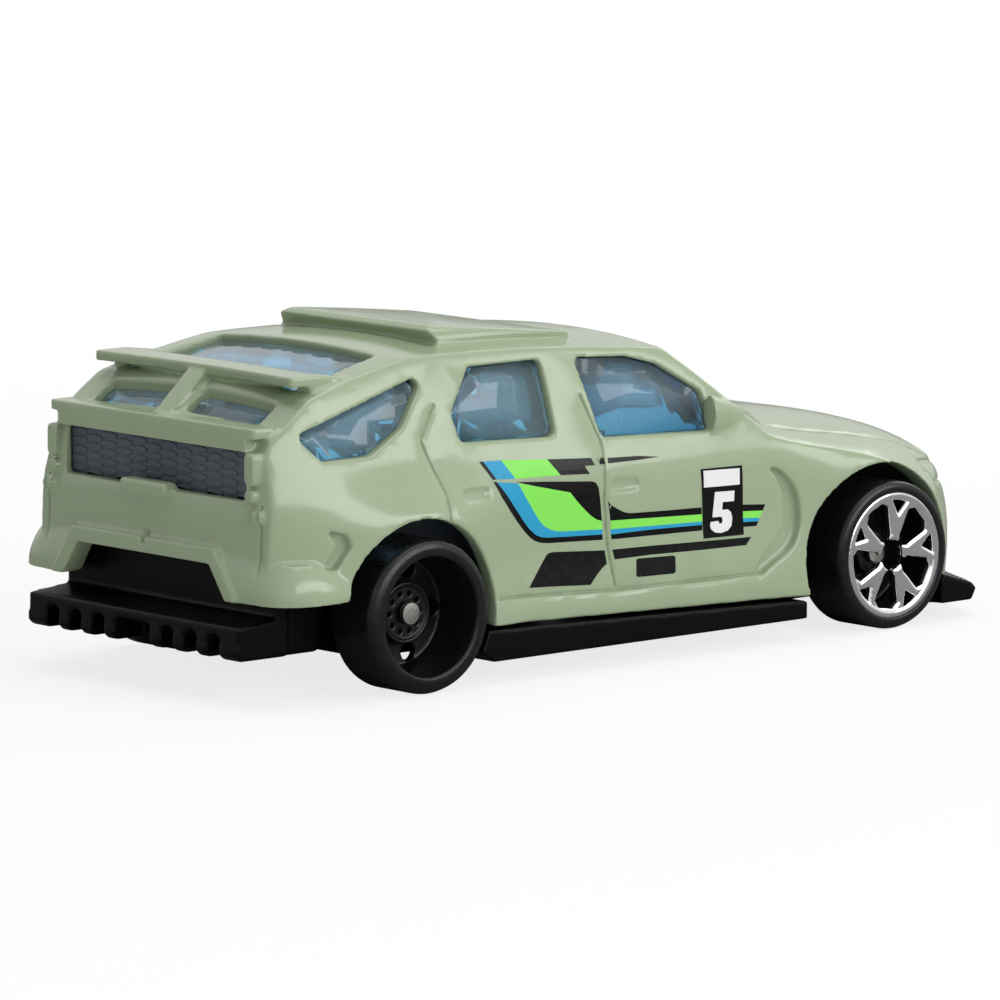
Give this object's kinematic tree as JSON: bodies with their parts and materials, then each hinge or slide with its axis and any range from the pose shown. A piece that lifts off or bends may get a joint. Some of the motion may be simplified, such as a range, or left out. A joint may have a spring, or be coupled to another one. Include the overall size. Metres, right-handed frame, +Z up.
{
  "type": "die-cast toy car",
  "caption": "Small die-cast toy crossover with rally bodywork: metal body, clear window moulding, grey interior, black base and free-rolling wheels.",
  "frame": {"origin": "on the ground, under the middle of the car's length and width", "axes": "+X towards the nose, +Y to the car's left, +Z up"},
  "size_m": [0.0732, 0.0304, 0.0237],
  "materials": {
    "painted_casting": "gloss sage green enamel over a zinc casting",
    "tinted_window": "clear blue polystyrene",
    "grey_interior": "satin grey plastic",
    "black_base": "satin black plastic",
    "axle_steel": "bright nickel-plated wire",
    "front_wheel": "black plastic with a chrome-foil face",
    "rear_wheel": "black plastic"
  },
  "bodies": {
    "body": {"body_casting": "painted_casting", "window_insert": "tinted_window", "interior_tray": "grey_interior", "chassis_base": "black_base", "front_axle": "axle_steel", "rear_axle": "axle_steel"},
    "front_left": {"wheel_front_left": "front_wheel"},
    "front_right": {"wheel_front_right": "front_wheel"},
    "rear_left": {"wheel_rear_left": "rear_wheel"},
    "rear_right": {"wheel_rear_right": "rear_wheel"}
  },
  "joints": [
    {"name": "front_left_spin", "type": "hinge", "parent": "body", "child": "front_left", "pos_m": [0.0201, 0.0129, 0.00525], "axis": [0, 1, 0], "continuous": true},
    {"name": "front_right_spin", "type": "hinge", "parent": "body", "child": "front_right", "pos_m": [0.0201, -0.0129, 0.00525], "axis": [0, 1, 0], "continuous": true},
    {"name": "rear_left_spin", "type": "hinge", "parent": "body", "child": "rear_left", "pos_m": [-0.0229, 0.0129, 0.00525], "axis": [0, 1, 0], "continuous": true},
    {"name": "rear_right_spin", "type": "hinge", "parent": "body", "child": "rear_right", "pos_m": [-0.0229, -0.0129, 0.00525], "axis": [0, 1, 0], "continuous": true}
  ]
}
